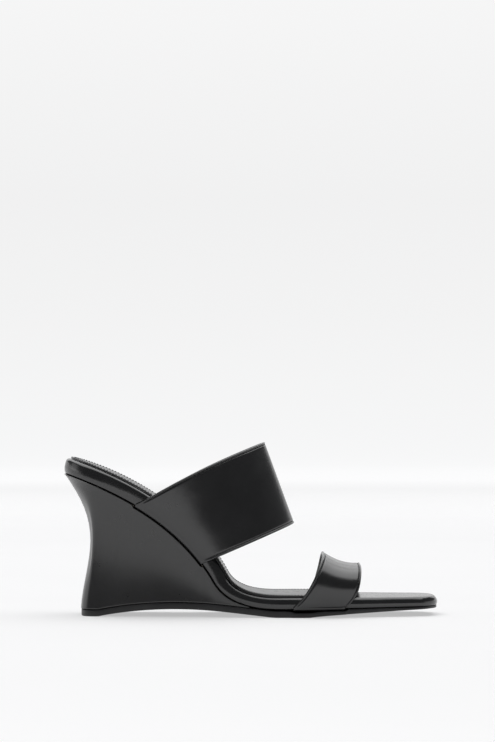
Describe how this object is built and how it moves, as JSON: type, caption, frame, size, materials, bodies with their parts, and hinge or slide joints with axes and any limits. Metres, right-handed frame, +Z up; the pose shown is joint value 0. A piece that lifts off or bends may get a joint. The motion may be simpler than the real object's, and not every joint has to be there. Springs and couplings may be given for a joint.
{
  "type": "wedge mule sandal",
  "caption": "Slip-on wedge sandal for the right foot, with a wide instep strap, a narrow toe strap, a padded square-toed footbed and a leather-covered wedge.",
  "frame": {"origin": "on the ground, under the middle of the sandal", "axes": "+X from the heel to the toe, +Y to the inner side of the foot, +Z up"},
  "size_m": [0.2269, 0.0861, 0.1051],
  "materials": {
    "calf_leather": "smooth black calf, soft sheen",
    "sock_leather": "smooth black leather sock",
    "lining_leather": "matt black lining leather",
    "sole_rubber": "black moulded rubber, fine matt texture",
    "wedge_plastic": "rigid moulded foam plastic, unseen",
    "foam": "latex foam padding, unseen",
    "fibreboard": "cellulose insole board, unseen",
    "cork": "ground cork filler, unseen",
    "steel": "plain steel, unseen",
    "tape": "woven reinforcing tape, unseen",
    "thread": "black polyester thread"
  },
  "bodies": {
    "root": {"outsole": "sole_rubber", "wedge_core": "wedge_plastic", "wedge_cover": "calf_leather", "footbed_wrap": "calf_leather", "footbed_foam": "foam", "insole_board": "fibreboard", "bottom_filler": "cork", "shank": "steel", "shank_rivet_1": "steel", "shank_rivet_2": "steel", "wedge_nail_1": "steel", "wedge_nail_2": "steel", "wedge_nail_3": "steel", "wedge_nail_4": "steel", "wedge_nail_5": "steel", "wedge_nail_6": "steel", "wedge_screw": "steel", "sock": "sock_leather", "sock_stitching": "thread", "rear_strap_outer": "calf_leather", "rear_strap_tape": "tape", "rear_strap_lining": "lining_leather", "rear_strap_rear_seam": "thread", "rear_strap_front_seam": "thread", "front_strap_outer": "calf_leather", "front_strap_tape": "tape", "front_strap_lining": "lining_leather", "front_strap_rear_seam": "thread", "front_strap_front_seam": "thread"}
  },
  "joints": []
}
